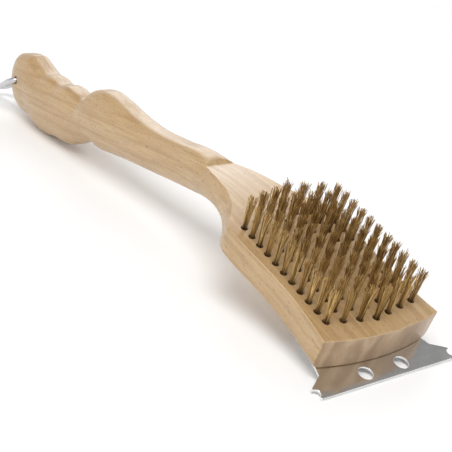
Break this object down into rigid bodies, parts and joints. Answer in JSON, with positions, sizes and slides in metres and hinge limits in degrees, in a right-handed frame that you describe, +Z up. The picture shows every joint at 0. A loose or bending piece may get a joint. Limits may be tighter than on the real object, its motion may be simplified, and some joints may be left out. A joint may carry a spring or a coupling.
{
  "type": "grill cleaning brush",
  "caption": "Bent wooden brush with dense brass wire tufts on its wide head, a notched steel scraper plate under the front and a swinging wire hang ring.",
  "frame": {"origin": "under the middle of the brush's bounding box, on the level surface it lies on with its bristles up", "axes": "+Y from the handle towards the scraper, +Z up, +X across"},
  "size_m": [0.091, 0.435, 0.0651],
  "materials": {
    "wood": "satin lacquer",
    "stainless": "smooth, mirror-like in places",
    "screw_steel": "plated",
    "ring_wire": "zinc plated",
    "brass_wire": "drawn wire"
  },
  "bodies": {
    "brush": {"wood_body": "wood", "scraper_plate": "stainless", "scraper_screw_left": "screw_steel", "scraper_screw_right": "screw_steel", "tuft_a1": "brass_wire", "tuft_a2": "brass_wire", "tuft_a3": "brass_wire", "tuft_a4": "brass_wire", "tuft_a5": "brass_wire", "tuft_a6": "brass_wire", "tuft_a7": "brass_wire", "tuft_b1": "brass_wire", "tuft_b7": "brass_wire", "tuft_c1": "brass_wire", "tuft_c7": "brass_wire", "tuft_d1": "brass_wire", "tuft_d7": "brass_wire", "tuft_e1": "brass_wire", "tuft_e7": "brass_wire", "tuft_f1": "brass_wire", "tuft_f7": "brass_wire", "tuft_g1": "brass_wire", "tuft_g7": "brass_wire", "tuft_h1": "brass_wire", "tuft_h7": "brass_wire", "tuft_i1": "brass_wire", "tuft_i7": "brass_wire", "tuft_j1": "brass_wire", "tuft_j7": "brass_wire", "tuft_k1": "brass_wire", "tuft_k2": "brass_wire", "tuft_k3": "brass_wire", "tuft_k4": "brass_wire", "tuft_k5": "brass_wire", "tuft_k6": "brass_wire", "tuft_k7": "brass_wire", "tuft_row_b": "brass_wire", "tuft_row_c": "brass_wire", "tuft_row_d": "brass_wire", "tuft_row_e": "brass_wire", "tuft_row_f": "brass_wire", "tuft_row_g": "brass_wire", "tuft_row_h": "brass_wire", "tuft_row_i": "brass_wire", "tuft_row_j": "brass_wire"},
    "ring": {"hang_ring": "ring_wire"}
  },
  "joints": [
    {"name": "ring_swing", "type": "hinge", "parent": "brush", "child": "ring", "pos_m": [0, -0.1672, 0.02818], "axis": [1, 0, 0], "range_deg": [-140, 75]}
  ]
}
